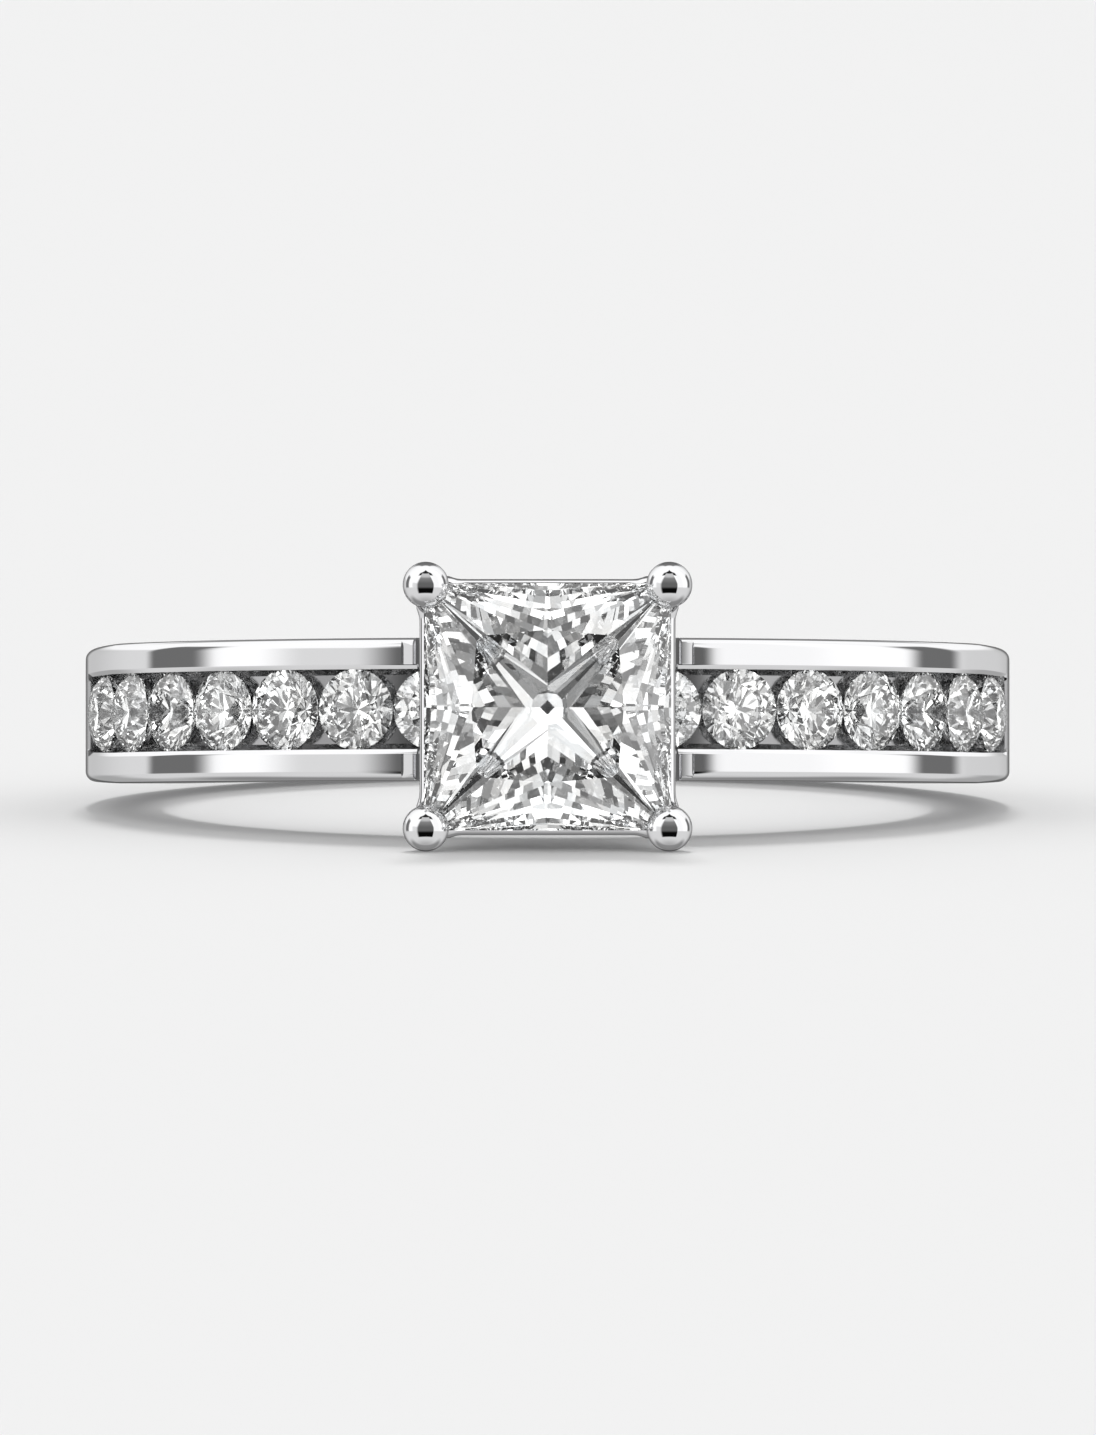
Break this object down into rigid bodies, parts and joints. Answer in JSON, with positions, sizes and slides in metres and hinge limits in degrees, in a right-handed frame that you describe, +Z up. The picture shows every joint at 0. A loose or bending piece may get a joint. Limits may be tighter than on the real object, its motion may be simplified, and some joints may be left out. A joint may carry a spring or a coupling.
{
  "type": "channel-set engagement ring",
  "caption": "Finger ring lying on its side: square stone in a four-prong wire head with ball tips, round stones in a sunk channel along the front half of a tapered shank.",
  "frame": {"origin": "centre of the bounding box in X and Y, at the floor that the ring lies on", "axes": "+Z up, -Y toward the head and its square stone, +X to the right of someone facing the head; the finger axis leans 4.6 degrees from +Z toward +Y"},
  "size_m": [0.0204, 0.024, 0.0061],
  "materials": {
    "white_metal": "mirror polished",
    "centre_gem": "faceted, colourless",
    "side_gem": "faceted, colourless"
  },
  "bodies": {
    "root": {"ring_body": "white_metal", "centre_stone": "centre_gem", "side_stone_l1": "side_gem", "side_stone_l2": "side_gem", "side_stone_l3": "side_gem", "side_stone_l4": "side_gem", "side_stone_l5": "side_gem", "side_stone_l6": "side_gem", "side_stone_l7": "side_gem", "side_stone_r1": "side_gem", "side_stone_r2": "side_gem", "side_stone_r3": "side_gem", "side_stone_r4": "side_gem", "side_stone_r5": "side_gem", "side_stone_r6": "side_gem", "side_stone_r7": "side_gem"}
  },
  "joints": []
}
